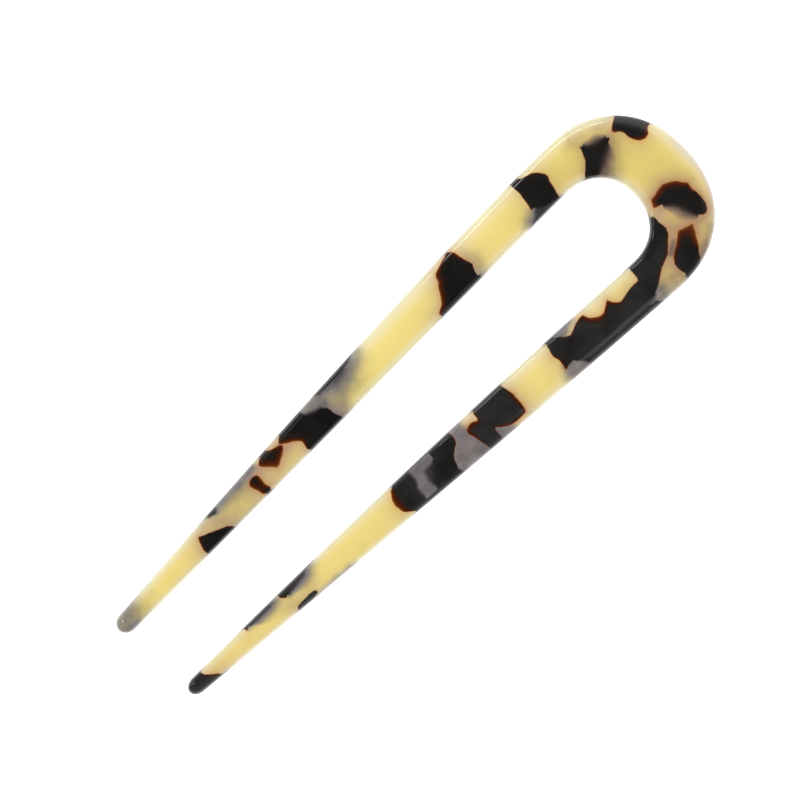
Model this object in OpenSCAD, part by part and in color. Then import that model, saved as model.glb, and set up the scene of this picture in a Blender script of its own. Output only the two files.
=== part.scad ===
// A two-legged hair pin: one U-shaped piece of sheet with polished, rounded edges.
// It lies flat on its back, with the bow towards +X, the left leg towards +Y and the
// tips towards -X. The origin is in the middle of the surface that it lies on.

/* [Overall] */
// Length from the top of the bow to the tip of the left leg
pin_len = 150; // [90:1:220]
// Width across the bow, outside to outside
bow_w = 39; // [34:0.5:60]
// Thickness of the sheet that the pin is cut from
sheet_t = 4; // [2:0.1:8]

/* [Bow] */
// Depth of the band at the top of the bow, from the slot to the outside
band_d = 13.8; // [6:0.1:30]
// Squareness of the bow: 2 is a true half circle and 3 has square shoulders
bow_square = 2.2; // [1.8:0.05:3]

/* [Legs] */
// Width of the left leg where the bow begins
left_leg_w = 9.4; // [6:0.1:12]
// Width of the right leg where the bow begins
right_leg_w = 10.1; // [6:0.1:12]
// Width of the left leg where the rounding of its tip begins
left_tip_w = 4.1; // [2.5:0.1:6]
// Width of the right leg where the rounding of its tip begins
right_tip_w = 3.5; // [2.5:0.1:6]
// Width across both tips, outside to outside
tips_apart = 22.8; // [18:0.2:40]
// How late the left leg's outside draws in towards its tip: 1 is a straight taper
left_hold = 1.45; // [1:0.05:2]
// How late the right leg's outside draws in towards its tip: 1 is a straight taper
right_hold = 1.15; // [1:0.05:2]
// How late the left leg grows thin: 1 is a straight taper
left_leg_hold = 1.85; // [1:0.05:2.5]
// How late the right leg grows thin: 1 is a straight taper
right_leg_hold = 1.65; // [1:0.05:2.5]
// How much shorter the right leg is than the left one
right_short = 1.6; // [0:0.1:12]

/* [Edges] */
// How far the rounding reaches in from the edge of the slot
slot_round = 1; // [0.5:0.05:2]
// How far the rounding reaches in from the left leg's outer edge
left_round = 1.5; // [0.5:0.05:3]
// How far the rounding reaches in from the right leg's outer edge
right_round = 2.4; // [0.5:0.05:3]
// How much further in the outer rounding reaches half way round the bow
bow_swell = 0.8; // [0:0.1:2]
// Length of the rounded end of each tip
tip_round = 2.4; // [1:0.1:8]

/* [Hidden] */

// Counts of the sections along a leg, round the bow and along a tip's rounded end,
// and of the flats round one rounded side of a section
LEG_STEPS = 20;
BOW_STEPS = 56;
TIP_STEPS = 6;
SIDE_STEPS = 12;
// Largest share of a section that its two rounded sides may take
ROUND_SHARE = 0.96;
// Room for the trimming slab on every side
SLAB_MARGIN = 5;

slot_w = bow_w - left_leg_w - right_leg_w;
slot_mid_y = (right_leg_w - left_leg_w) / 2;
// The outside of the bow bends round one centre and the slot's end round another
outer_mid_x = pin_len / 2 - bow_w / 2;
inner_mid_x = pin_len / 2 - band_d - slot_w / 2;

// x at which the rounding of a leg's tip begins; side is 1 for the left leg, -1 for the right
function tip_x(side) = -pin_len / 2 + tip_round + (side > 0 ? 0 : right_short);
function leg_w(side) = side > 0 ? left_leg_w : right_leg_w;
function outside_hold(side) = side > 0 ? left_hold : right_hold;
function leg_hold(side) = side > 0 ? left_leg_hold : right_leg_hold;
function tip_w(side) = side > 0 ? left_tip_w : right_tip_w;
function outer_round(side) = side > 0 ? left_round : right_round;
function tip_mid_y(side) = side * (tips_apart - tip_w(side)) / 2;

// A size that goes from its value at the bow to its value at the tip
function taper(at_bow, at_tip, share, hold) = at_bow + (at_tip - at_bow) * pow(share, hold);
function mix(a, b, share) = a + (b - a) * share;

// A point of a superellipse about [mid_x, mid_y], at an angle from the +X axis
function bow_point(mid_x, mid_y, radius, angle) =
    [mid_x + radius * pow(abs(cos(angle)), 2 / bow_square),
     mid_y + radius * sign(sin(angle)) * pow(abs(sin(angle)), 2 / bow_square)];

// A station holds the slot-side and the outer point of one section, the reach of the
// rounding from each, and the share of the sheet's thickness that the section keeps
function leg_station(side, share) =
    let (outer_y = taper(bow_w, tips_apart, share, outside_hold(side)) / 2,
         width = taper(leg_w(side), tip_w(side), share, leg_hold(side)))
    [[mix(inner_mid_x, tip_x(side), share), side * (outer_y - width)],
     [mix(outer_mid_x, tip_x(side), share), side * outer_y],
     slot_round, outer_round(side), 1];

function bow_station(share) =
    let (angle = 90 - 180 * share)
    [bow_point(inner_mid_x, slot_mid_y, slot_w / 2, angle),
     bow_point(outer_mid_x, 0, bow_w / 2, angle),
     slot_round, mix(left_round, right_round, share) + bow_swell * sin(180 * share), 1];

function tip_station(side, angle) =
    let (x = tip_x(side) - tip_round * sin(angle),
         half_w = side * tip_w(side) / 2 * cos(angle))
    [[x, tip_mid_y(side) - half_w], [x, tip_mid_y(side) + half_w],
     slot_round * cos(angle), outer_round(side) * cos(angle), cos(angle)];

function tip_end(side) = [tip_x(side) - tip_round, tip_mid_y(side), sheet_t / 2];

// The outline of one section: the outer side from its foot to its top, then the slot side
// from its top to its foot
function section(station) =
    let (inner = station[0], outer = station[1],
         width = norm(outer - inner),
         limit = min(1, ROUND_SHARE * width / (station[2] + station[3])),
         in_round = station[2] * limit / width,
         out_round = station[3] * limit / width,
         half_t = sheet_t / 2)
    [for (side = [1, -1], i = [0 : SIDE_STEPS])
        let (angle = side * (i / SIDE_STEPS * 180 - 90),
             reach = cos(angle),
             share = side > 0 ? 1 - out_round * (1 - reach) : in_round * (1 - reach))
        [mix(inner[0], outer[0], share), mix(inner[1], outer[1], share),
         half_t + half_t * station[4] * sin(angle)]];

stations = concat(
    [for (i = [TIP_STEPS - 1 : -1 : 1]) tip_station(1, 90 * i / TIP_STEPS)],
    [for (i = [LEG_STEPS : -1 : 1]) leg_station(1, i / LEG_STEPS)],
    [for (i = [0 : BOW_STEPS]) bow_station(i / BOW_STEPS)],
    [for (i = [1 : LEG_STEPS]) leg_station(-1, i / LEG_STEPS)],
    [for (i = [1 : TIP_STEPS - 1]) tip_station(-1, 90 * i / TIP_STEPS)]);

// Skin over a row of sections, closed to a point at each end
module loft(sections, first_point, last_point) {
    ring = len(sections[0]);
    last_row = (len(sections) - 1) * ring;
    first = len(sections) * ring;
    points = concat([for (row = sections) each row], [first_point, last_point]);
    faces = concat(
        [for (row = [0 : len(sections) - 2], i = [0 : ring - 1])
            let (a = row * ring + i, b = row * ring + (i + 1) % ring)
            [a, a + ring, b + ring, b]],
        [for (i = [0 : ring - 1]) [first, i, (i + 1) % ring]],
        [for (i = [0 : ring - 1]) [first + 1, last_row + (i + 1) % ring, last_row + i]]);
    polyhedron(points, faces, convexity = 6);
}

// The sheet itself, from the surface that the pin lies on up to its polished face
module sheet() {
    translate([-pin_len / 2 - SLAB_MARGIN, -bow_w / 2 - SLAB_MARGIN, 0])
        cube([pin_len + 2 * SLAB_MARGIN, bow_w + 2 * SLAB_MARGIN, sheet_t]);
}

module hair_pin() {
    color([0.93, 0.84, 0.56])
        intersection() {
            sheet();
            loft([for (station = stations) section(station)], tip_end(1), tip_end(-1));
        }
}

hair_pin();
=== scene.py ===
import math

import bpy
import numpy as np
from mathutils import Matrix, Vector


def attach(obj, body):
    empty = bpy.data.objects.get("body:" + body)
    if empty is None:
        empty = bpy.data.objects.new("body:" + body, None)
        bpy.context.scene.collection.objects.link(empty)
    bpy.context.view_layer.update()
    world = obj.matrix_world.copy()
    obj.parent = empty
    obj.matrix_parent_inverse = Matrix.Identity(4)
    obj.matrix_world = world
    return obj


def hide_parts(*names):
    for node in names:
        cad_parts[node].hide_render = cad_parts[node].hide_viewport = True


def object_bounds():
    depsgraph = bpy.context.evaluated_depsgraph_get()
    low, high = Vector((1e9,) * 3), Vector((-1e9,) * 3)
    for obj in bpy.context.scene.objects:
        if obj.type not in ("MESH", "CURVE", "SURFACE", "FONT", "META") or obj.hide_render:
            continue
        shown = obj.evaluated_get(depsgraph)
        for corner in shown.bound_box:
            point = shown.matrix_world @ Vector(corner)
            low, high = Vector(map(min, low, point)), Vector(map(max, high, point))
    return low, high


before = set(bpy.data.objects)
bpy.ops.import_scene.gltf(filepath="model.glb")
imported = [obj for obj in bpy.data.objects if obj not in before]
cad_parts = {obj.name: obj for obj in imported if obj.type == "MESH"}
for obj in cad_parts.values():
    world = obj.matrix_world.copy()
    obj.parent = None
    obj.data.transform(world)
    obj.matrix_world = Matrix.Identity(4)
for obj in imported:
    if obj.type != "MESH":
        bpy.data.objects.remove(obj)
CAD_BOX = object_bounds()

# Sizes are in millimetres, like the part's source, and become metres when a mesh is made
MM = 0.001
PIN_LEN, BOW_W, SHEET_T = [(high - low) / MM for low, high in zip(*CAD_BOX)]
BAND_D = 13.8
BOW_SQUARE = 2.2
LEG_W = {1: 9.4, -1: 10.1}
TIP_W = {1: 4.1, -1: 3.5}
TIPS_APART = 22.8
OUTSIDE_HOLD = {1: 1.45, -1: 1.15}
LEG_HOLD = {1: 1.85, -1: 1.65}
TIP_SHORT = {1: 0.0, -1: 1.6}
SLOT_ROUND = 1.0
OUTER_ROUND = {1: 1.5, -1: 2.4}
BOW_SWELL = 0.8
TIP_ROUND = 2.4
ROUND_SHARE = 0.96

# Counts of the sections along a leg, round the bow and along a tip's rounded end, and of
# the strips across each face and round each edge of a section
LEG_STEPS = 330
BOW_STEPS = 160
TIP_STEPS = 16
FACE_STRIPS = 28
EDGE_STRIPS = 22

# Hand polishing lets the reach of the rounded edges wander by this share, over these lengths
POLISH_WANDER = 0.05
POLISH_WAVES = ((31.0, 0.4), (13.7, 1.9), (6.1, 4.0))

# How far below its top a chip's side stops spreading or drawing in
SPREAD_DEPTH = 1.0
# Depth of cream above a chip at which nothing of it shows through
HIDDEN_DEPTH = 4.0
# Depth over which the shades of two chips merge, and a shade too faint to matter
MERGE_DEPTH = 0.12
TINY = 1e-9
# Blur of the edge of a chip that lies under cream, of one that leans out as smoke and of one
# that is seen at the side of the sheet
VEIL_BLUR = 0.35
SMOKE_BLUR = 0.4
SIDE_BLUR = 0.7
# How far a chip's blush reaches into the cream, and the most that several chips add up to
BLUSH_REACH = 2.0
MOST_BLUSH = 1.2
# Area in square mm within which the lean of one side of an outline passes into the next
LEAN_MELD = 0.05
# The least lean that smoke is drawn with, and the leans between which a crisp edge becomes one
# of smoke
LEAST_LEAN = 0.1
CRISP_LEAN = (0.1, 0.5)
# Seen from below, a side leans the other way by this share. Seen from the side of the sheet,
# every chip draws in by the same lean.
BELOW_LEAN = 0.6
SIDE_LEAN = 0.3
# A point is at the side of the sheet where its normal rises or falls by less than the first
# share, and on a face where it does by more than the second
FACE_RISE = (0.3, 0.8)
# The pale rims are this many times narrower near the tips than by the bow, and change
# between these places along the pin
TIP_PULL = 1.8
TIP_PULL_ALONG = (-45, 15)
# How many times narrower the pale rim is beside the slot and at the outside, for the right leg and for the
# left one, and the places across the pin between which it changes. The pale rim is the stock's own, but its
# greater width on the rims that face left is painted light.
SLOT_PULL = (0.75, 1.05)
SLOT_PULL_ACROSS = (-5, 5)
OUTER_PULL = (1.15, 0.62)
OUTER_PULL_ACROSS = (-9, 0)
# A chip at least this deep is a wisp too thin to show at the edge of the sheet
WISP_DEPTH = 0.5
# The edge of a chip under cream wanders this far, over these lengths
VEIL_WANDER = 0.3
VEIL_WAVES = ((5.3, 0.7, 0.2), (3.1, 2.3, 1.3), (7.9, 4.4, 2.6))

# The camera looks straight down on the pin, turned so that the pin lies aslant as pictured
VIEW_TURN = math.radians(44)
VIEW_CENTRE = (-2.4, 3.9)
VIEW_WIDTH = 160.1
CAMERA_HEIGHT = 900.0
SENSOR_WIDTH = 36.0

# Half the side of the floor, and how far it lies below the pin so that the two don't touch
FLOOR_REACH = 1500.0
FLOOR_DROP = 0.02
FLOOR_BLOTCH = 60.0
FLOOR_SHADES = ((0.60, 0.60, 0.595), (0.63, 0.63, 0.625))
FLOOR_GLOW = 0.75

# Direction of the brightest part of the room, and the room's brightness by how nearly a
# direction agrees with it and by how high up it is
BRIGHT_SIDE = (0.86, 0.44, 0.26)
SIDE_BRIGHTNESS = ((0.28, 0.06), (0.6, 0.48), (0.95, 1.4))
HEIGHT_BRIGHTNESS = ((0.1, 0.34), (0.55, 0.28), (0.88, 0.06))

# Soft panel lights, all at the same distance and facing the pin. Each has its tilt from straight
# above and its azimuth from the +X axis in degrees, its width and length in mm, its radiance and
# its slide along its length in mm. The gleams are only seen mirrored in the polish.
PANEL_DISTANCE = 1200.0
GLEAMS = {
    "leg_gleam": (38, 90, (200, 109), 15.0, 73),
    "low_gleam": (38, 90, (200, 136), 1.7, -50),
    "end_gleam": (38, 90, (200, 240), 9.0, -420),
    "shoulder_gleam": (38, 90, (200, 560), 13.0, 407),
    "tip_spark": (30, 152, (240, 240), 12.0, 0),
    "right_gleam": (28, -90, (860, 105), 0.85, -72),
    "tip_gleam": (40, 145, (260, 420), 3.4, 0),
}
# The fills only light the pin and aren't mirrored in it
FILLS = {
    "left_fill": (30, 70, (800, 1400), 1.3, 0),
    "right_fill": (28, -90, (860, 2200), 0.45, 0),
    "low_fill": (70, -90, (500, 2200), 1.5, 0),
    "tip_fill": (42, 180, (700, 900), 2.9, 0),
}

# Chips of dark stock in the sheet. Each has the cream above its top in mm, the strength of
# the blush that it gives the cream beside it, and its outline as seen from above, listed
# as x and y in mm and the lean of its side, in mm outwards for each mm down. A side
# that leans in shows as a crisp amber edge and one that leans out as smoke.
CHIPS = {
    "bow_outer": (0, 0.5, [
        (66.6, 12.7, -1.2), (66.8, 12.1, -1.2), (67.6, 11.6, -0.8), (68.1, 10.8, -0.6),
        (68.1, 9.6, -0.8), (68.5, 8.5, -1.2), (69.4, 7.3, -2.0), (70.5, 6.9, -2.4),
        (71.5, 7.1, -2.4), (72.1, 7.7, -1.6), (73.3, 8.1, -0.5), (76.0, 9.5, -0.5),
        (74.0, 14.5, -0.5), (70.6, 17.0, -0.5), (68.8, 14.7, -0.5), (67.8, 13.9, -0.8)]),
    "bow_smoky": (0, 0.6, [
        (59.8, 15.0, -0.4), (59.2, 13.6, -0.5), (58.6, 12.2, -0.5), (57.5, 11.0, -0.4),
        (56.6, 10.2, -0.2), (55.8, 9.0, 0.0), (57.4, 8.3, 0.4), (58.7, 8.7, 1.4),
        (59.6, 9.5, 2.6), (60.7, 10.3, 3.0), (62.0, 10.9, 3.2), (63.4, 11.5, 2.4),
        (64.8, 11.6, -0.3), (65.2, 11.8, -0.6), (65.4, 12.2, -0.4), (64.9, 12.4, 0.6),
        (63.4, 12.4, 1.7), (61.6, 12.8, 1.6), (60.6, 13.5, 1.3), (60.1, 14.5, 0.7)]),
    "bow_crescent": (0, 1.0, [
        (61.8, -4.4, -3.4), (62.2, -3.6, -3.6), (62.7, -2.7, -3.4), (64.0, -2.6, -3.2),
        (65.0, -2.3, -3.0), (66.4, -2.1, -3.0), (67.4, -2.5, -3.0), (68.3, -3.1, -2.8),
        (69.1, -3.7, -2.8), (69.7, -4.6, -2.6), (70.4, -5.5, -2.2), (70.2, -6.8, -1.4),
        (70.4, -8.0, -0.8), (70.4, -9.5, -0.8), (70.3, -10.8, -0.8), (69.8, -12.0, -1.0),
        (69.0, -12.6, -1.0), (68.1, -12.3, -0.6), (67.4, -11.4, 0.6), (67.2, -10.3, 1.4),
        (66.8, -9.0, 2.0), (66.3, -7.4, 2.3), (65.4, -6.1, 1.9), (63.6, -5.0, 0.6)]),
    "bow_diamond": (0, 0.9, [
        (62.3, -11.0, -3.9), (65.3, -12.1, -5.1), (64.6, -13.6, -4.6), (63.8, -15.0, -3.0),
        (63.0, -16.5, -1.0), (61.7, -17.8, 0.5), (60.1, -18.8, 0.9), (57.6, -19.0, 0.8),
        (57.1, -17.6, -0.3), (56.9, -16.6, -0.6), (57.1, -15.5, -0.8), (57.8, -14.3, -1.4),
        (58.8, -13.5, -1.6), (60.0, -12.8, -1.8), (61.2, -11.9, -2.3)]),
    "right_great": (0, 0.7, [
        (59.6, -4.9, -0.3), (60.7, -5.4, -0.5), (60.7, -7.5, -0.5), (61.0, -9.0, -0.6),
        (60.4, -10.2, -0.8), (59.2, -11.3, -0.8), (57.6, -13.0, -0.8), (56.2, -13.6, -0.8),
        (54.8, -14.2, -0.8), (53.5, -15.0, -0.8), (52.4, -15.8, -0.6), (50.8, -16.7, 0.2),
        (49.5, -17.0, 0.8), (47.5, -17.4, 0.8), (46.0, -18.2, 0.6), (45.0, -20.5, 0.3),
        (31.8, -20.0, 0.6), (31.6, -18.1, 0.8), (31.2, -17.3, 0.8), (30.5, -16.2, 0.8),
        (29.8, -15.6, 0.6), (28.7, -15.2, 0.3), (27.5, -15.3, -0.3), (26.4, -15.7, -1.0),
        (26.7, -14.3, -1.2), (26.8, -13.3, -1.2), (26.5, -12.0, -1.0), (26.6, -11.0, -0.8),
        (26.9, -10.2, -0.6), (27.0, -9.3, -0.4), (26.9, -7.0, -0.3), (28.8, -7.0, 0.2),
        (29.0, -8.7, 0.2), (29.3, -9.4, 0.3), (30.2, -9.9, 0.2), (31.0, -10.6, -0.3),
        (32.0, -11.1, -0.6), (33.0, -10.8, -0.6), (34.2, -10.2, -0.8), (35.4, -9.9, -1.2),
        (36.6, -9.7, -1.6), (36.8, -10.5, -2.4), (37.2, -11.2, -2.6), (38.0, -12.0, -2.6),
        (39.0, -12.5, -2.4), (39.9, -12.6, -1.6), (41.0, -11.9, -1.2), (42.2, -11.1, -1.8),
        (42.5, -11.8, -1.8), (43.0, -12.6, -1.2), (44.0, -13.3, -1.0), (45.2, -13.1, -0.6),
        (47.0, -12.7, -0.6), (49.4, -12.6, -0.6), (49.7, -12.0, -0.5), (49.8, -10.0, -0.4),
        (49.7, -7.6, -0.3), (53.0, -7.6, -0.3), (55.5, -6.6, -0.3), (57.6, -4.8, -0.3),
        (58.6, -3.8, -0.3)]),
    "left_high": (0, 0.5, [
        (44.2, 20.8, -0.3), (44.3, 18.0, -0.3), (44.4, 16.5, -0.6), (44.2, 14.6, -0.6),
        (44.0, 13.2, -0.8), (43.8, 12.5, -0.8), (44.8, 12.4, 0.6), (45.7, 11.8, 0.9),
        (46.6, 11.4, 1.1), (48.0, 10.9, 0.8), (48.8, 10.2, 0.3), (49.0, 8.8, -0.3),
        (49.8, 8.8, -0.3), (49.9, 10.9, -0.4), (50.2, 12.2, -0.6), (50.6, 14.0, -0.9),
        (51.0, 15.0, -0.9), (50.9, 15.8, -0.9), (50.1, 17.0, -0.9), (49.2, 17.8, -0.9),
        (48.0, 18.1, -0.9), (46.9, 18.6, -0.6), (46.4, 19.2, -0.4), (46.2, 20.8, -0.3)]),
    "left_middle": (0, 0.8, [
        (15.0, 8.4, -1.0), (15.6, 9.7, -1.0), (16.0, 10.5, -1.5), (16.8, 10.9, -1.8),
        (17.6, 11.4, -2.0), (18.3, 12.3, -2.2), (18.9, 13.2, -2.6), (19.6, 14.5, -2.6),
        (20.2, 15.1, -2.6), (20.5, 15.9, -2.6), (21.0, 16.7, -2.2), (21.8, 17.0, -1.8),
        (22.8, 17.4, -1.6), (24.2, 18.2, -2.0), (24.4, 19.6, -2.0), (26.6, 19.6, -2.0),
        (26.6, 18.1, -2.0), (26.7, 17.1, -2.0), (27.1, 15.6, -1.2), (27.3, 14.5, -1.0),
        (27.6, 13.7, -0.8), (27.8, 13.0, -0.6), (27.4, 12.1, -0.4), (27.0, 11.2, -0.1),
        (26.9, 10.6, 0.4), (27.1, 9.9, 0.6), (27.3, 8.4, 0.5)]),
    "left_low": (0, 0.75, [
        (-24.9, 16.8, -0.5), (-24.9, 15.1, -0.8), (-25.4, 14.5, -1.6), (-25.6, 13.8, -1.8),
        (-25.0, 13.3, -2.3), (-24.2, 12.8, -2.3), (-23.2, 12.3, -2.1), (-22.4, 11.7, -1.8),
        (-21.8, 11.0, -1.6), (-22.0, 10.0, -1.0), (-22.2, 9.2, -0.8), (-21.8, 7.4, -0.6),
        (-12.2, 7.8, -0.3), (-12.4, 9.0, -0.3), (-12.9, 9.9, -0.4), (-13.2, 10.8, -0.4),
        (-13.3, 12.0, -0.4), (-13.7, 12.7, 0.1), (-14.5, 12.9, 0.9), (-16.0, 13.1, 1.4),
        (-17.0, 13.6, 1.2), (-18.0, 14.2, 0.8), (-18.2, 15.0, 0.5), (-18.4, 17.5, 0.5)]),
    "left_kite": (0, 0.75, [
        (-31.5, 16.4, -0.6), (-31.4, 14.4, -2.1), (-31.6, 13.5, -2.7), (-31.2, 13.0, -3.0),
        (-30.3, 12.1, -3.6), (-29.6, 11.3, -3.9), (-29.1, 10.7, -3.9), (-28.5, 10.8, -3.3),
        (-27.8, 11.2, -3.0), (-26.8, 11.7, -3.0), (-25.8, 12.4, -2.7), (-25.1, 13.1, -2.1),
        (-25.5, 13.6, -1.8), (-26.5, 14.0, -1.8), (-27.5, 14.5, -1.8), (-28.0, 16.4, -0.8)]),
    "left_drop": (0, 0.75, [
        (-33.2, 12.6, -1.0), (-32.9, 12.0, -1.9), (-33.1, 11.0, -2.2), (-33.1, 9.8, -2.2),
        (-32.8, 9.0, -1.0), (-32.7, 7.2, -0.2), (-34.5, 7.2, -0.3), (-34.6, 8.4, -1.0),
        (-35.0, 9.2, -2.4), (-35.2, 10.2, -2.9), (-35.6, 11.2, -2.6), (-35.8, 11.9, -2.2),
        (-35.2, 12.6, -1.4), (-34.2, 12.9, -0.8)]),
    "left_wedge": (0, 0.8, [
        (-51.4, 7.0, -0.4), (-51.4, 9.2, -0.8), (-51.1, 10.0, -1.0), (-50.8, 10.9, -1.2),
        (-50.4, 11.8, -1.2), (-49.4, 11.3, -0.6), (-48.0, 10.8, -0.4), (-46.8, 10.2, -0.4),
        (-45.8, 9.8, -0.5), (-44.6, 9.3, -0.6), (-43.6, 8.5, -0.6), (-42.9, 7.0, -0.4)]),
    "right_arch": (0, 0.9, [
        (6.9, -6.6, -0.4), (6.9, -9.3, -0.8), (6.8, -10.2, -1.0), (6.4, -10.6, -1.6),
        (5.6, -9.9, -2.3), (4.6, -9.9, -2.3), (3.5, -10.4, -2.1), (3.3, -11.3, -1.8),
        (3.7, -12.3, -1.6), (4.0, -13.5, -1.0), (4.2, -15.0, -0.6), (4.1, -18.0, -0.5),
        (7.8, -18.2, -0.4), (7.8, -15.2, 0.2), (7.9, -14.4, 0.2), (8.1, -13.9, -0.5),
        (8.6, -14.4, -1.0), (9.4, -15.1, -1.8), (10.2, -15.8, -1.8), (11.0, -16.3, -1.7),
        (12.0, -16.6, -1.6), (13.0, -16.6, -1.6), (14.0, -16.4, -1.6), (15.0, -16.4, -1.6),
        (15.2, -15.5, -1.6), (15.4, -14.0, -1.6), (15.4, -12.5, -1.6), (15.5, -11.5, -1.6),
        (15.2, -10.3, -1.0), (15.0, -9.5, -0.6), (14.9, -6.6, -0.4)]),
    "right_block": (0, 0.8, [
        (-5.0, -6.6, 0.2), (0.9, -6.6, -0.3), (0.8, -9.0, -0.5), (0.7, -10.0, -0.5),
        (0.3, -10.8, -0.5), (-0.6, -11.4, -0.5), (-1.6, -12.2, -0.4), (-2.3, -13.2, -0.2),
        (-2.7, -14.3, 0.3), (-4.0, -15.0, 0.8), (-6.0, -15.2, 0.8), (-8.0, -14.5, 0.8),
        (-8.2, -13.6, 0.8), (-7.4, -12.4, 0.9), (-6.8, -11.4, 0.8), (-5.6, -10.6, 0.6),
        (-5.2, -9.5, 0.3)]),
    "right_lens": (0, 0.5, [
        (-15.3, -6.6, -0.8), (-15.5, -8.0, -1.0), (-16.1, -8.7, -2.4), (-16.6, -9.4, -3.0),
        (-17.1, -10.2, -3.3), (-17.4, -11.3, -3.6), (-17.2, -12.5, -3.3), (-17.0, -13.8, -3.0),
        (-16.5, -14.6, -2.1), (-15.6, -15.2, -0.8), (-15.4, -17.0, -0.6), (-12.4, -17.0, 0.8),
        (-12.4, -15.3, 0.8), (-12.2, -14.0, 0.9), (-12.2, -13.0, 0.9), (-12.0, -11.6, 0.8),
        (-11.4, -11.0, 0.7), (-11.1, -10.0, 0.7), (-11.2, -9.0, 0.8), (-11.3, -6.6, 0.8)]),
    "right_rim_high": (0, 0.3, [
        (-47.9, -7.0, -0.3), (-47.2, -8.3, -0.8), (-46.6, -9.0, -1.0), (-45.9, -9.6, -0.8),
        (-45.3, -9.1, 0.8), (-44.8, -8.6, 1.6), (-43.0, -8.25, 1.8), (-40.6, -7.9, 1.8),
        (-39.4, -7.0, 1.6)]),
    "right_rim_low": (0, 0.3, [
        (-57.2, -7.0, -0.3), (-56.9, -8.0, -0.8), (-56.4, -8.8, -1.0), (-56.0, -8.8, -0.6),
        (-55.6, -8.1, 0.8), (-53.0, -7.8, 1.6), (-50.0, -7.7, 1.6), (-48.6, -7.0, 1.6)]),
    "right_spot": (0, 0.3, [
        (-46.2, -12.8, -0.3), (-45.6, -12.2, -0.3), (-43.0, -12.0, -0.3), (-41.0, -12.1, -0.3),
        (-40.4, -12.6, -0.3), (-40.6, -13.3, -0.2), (-43.0, -13.6, -0.2), (-46.0, -13.2, -0.2)]),
    "left_rim_spot": (0, 0.2, [
        (-47.0, 14.6, -0.4), (-46.8, 13.2, -0.8), (-46.0, 12.7, -0.8), (-45.4, 13.0, 0.4),
        (-44.6, 13.4, 1.2), (-43.8, 14.8, 1.2)]),
    "right_tip": (0, 0.6, [
        (-68.8, -6.5, -0.3), (-68.7, -9.0, -0.7), (-67.7, -9.8, -0.8), (-66.7, -10.4, -0.8),
        (-65.8, -11.0, -0.8), (-64.9, -11.6, -0.6), (-64.0, -12.6, -0.4), (-76.0, -13.0, 0.0),
        (-76.0, -6.0, 0.0)]),
    "veil_left_high": (0.15, 0, [
        (42.4, 8.6, 2.4), (42.8, 10.4, 2.4), (44.0, 11.8, 1.2), (45.0, 12.6, 0.8),
        (47.5, 12.0, 0.8), (49.5, 10.5, 0.8), (49.4, 8.6, 0.8)]),
    "veil_left_middle": (1.5, 0, [
        (26.4, 8.6, 1.6), (28.6, 8.6, 1.8), (29.6, 11.0, 2.2), (29.8, 14.0, 2.2),
        (28.0, 16.2, 1.8), (26.6, 14.0, 1.6)]),
    "veil_left_middle_foot": (1.15, 0, [
        (26.4, 8.4, 1.6), (28.2, 8.4, 1.6), (28.8, 10.2, 1.6), (28.6, 11.8, 1.6),
        (27.4, 12.2, 1.6)]),
    "veil_bow_smoky": (0.56, 0, [
        (57.8, 6.6, 1.6), (60.4, 7.0, 2.6), (61.4, 8.4, 3.0), (62.6, 9.8, 3.2),
        (63.4, 11.0, 2.4), (62.0, 12.0, 2.0), (58.6, 10.5, 1.6)]),
    "veil_bow_high": (1.7, 0, [
        (57.0, 16.6, 2.0), (59.6, 18.4, 2.0), (63.6, 17.4, 2.0), (68.4, 15.6, 2.0),
        (66.2, 13.9, 2.0), (60.0, 14.4, 2.0)]),
    "veil_bow_rim": (1.3, 0, [
        (57.0, -18.4, 1.2), (60.0, -18.2, 1.2), (62.6, -17.4, 1.2), (65.4, -15.6, 1.2),
        (67.8, -14.2, 1.2), (69.2, -15.6, 1.2), (62.0, -21.0, 1.2), (55.5, -21.0, 1.2)]),
    "veil_bow_rim_core": (0.78, 0, [
        (60.6, -18.0, 1.0), (62.6, -17.0, 1.0), (64.4, -16.2, 1.0), (65.6, -15.9, 1.0),
        (65.2, -17.4, 1.0), (62.0, -20.0, 1.0)]),
    "veil_band_low": (1.2, 0, [
        (53.4, -17.4, 1.6), (54.6, -16.4, 1.6), (56.4, -17.0, 1.6), (57.2, -19.4, 1.6),
        (55.0, -21.0, 1.6), (52.4, -19.6, 1.6)]),
    "veil_band_gap": (0.35, 0, [
        (57.6, -13.4, 0.6), (58.6, -12.2, 0.6), (60.0, -11.6, 0.6), (60.6, -12.1, 0.6),
        (59.6, -13.0, 0.6), (58.2, -14.0, 0.6)]),
    "veil_great_rim": (0.35, 0, [
        (44.0, -16.6, 0.9), (48.2, -16.6, 1.5), (49.4, -17.0, 1.5), (49.6, -18.0, 1.5),
        (48.6, -20.8, 1.5), (44.0, -20.8, 0.9)]),
    "veil_great_wide": (0.72, 0, [
        (46.0, -15.8, 1.6), (50.4, -16.0, 1.8), (52.2, -17.0, 2.4), (52.4, -18.6, 2.8),
        (51.0, -20.8, 2.4), (46.0, -20.8, 1.6)]),
    "veil_great_spot": (0.12, 0, [
        (45.9, -18.0, 0.7), (47.6, -17.8, 0.7), (48.0, -18.4, 0.7), (46.2, -18.7, 0.7)]),
    "veil_great_end": (0.6, 0, [
        (26.6, -14.9, 1.0), (28.6, -14.4, 0.9), (30.6, -15.0, 0.9), (32.6, -17.0, 0.9),
        (32.6, -20.0, 0.9), (27.4, -19.4, 1.4), (26.0, -17.0, 1.4)]),
    "veil_great_slot": (0.5, 0, [
        (28.0, -7.0, 1.0), (28.2, -10.2, 1.0), (30.4, -10.8, 1.0), (32.6, -9.4, 1.2),
        (34.0, -8.6, 1.6), (34.4, -7.0, 1.6)]),
    "veil_arch_left": (0.56, 0, [
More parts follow.
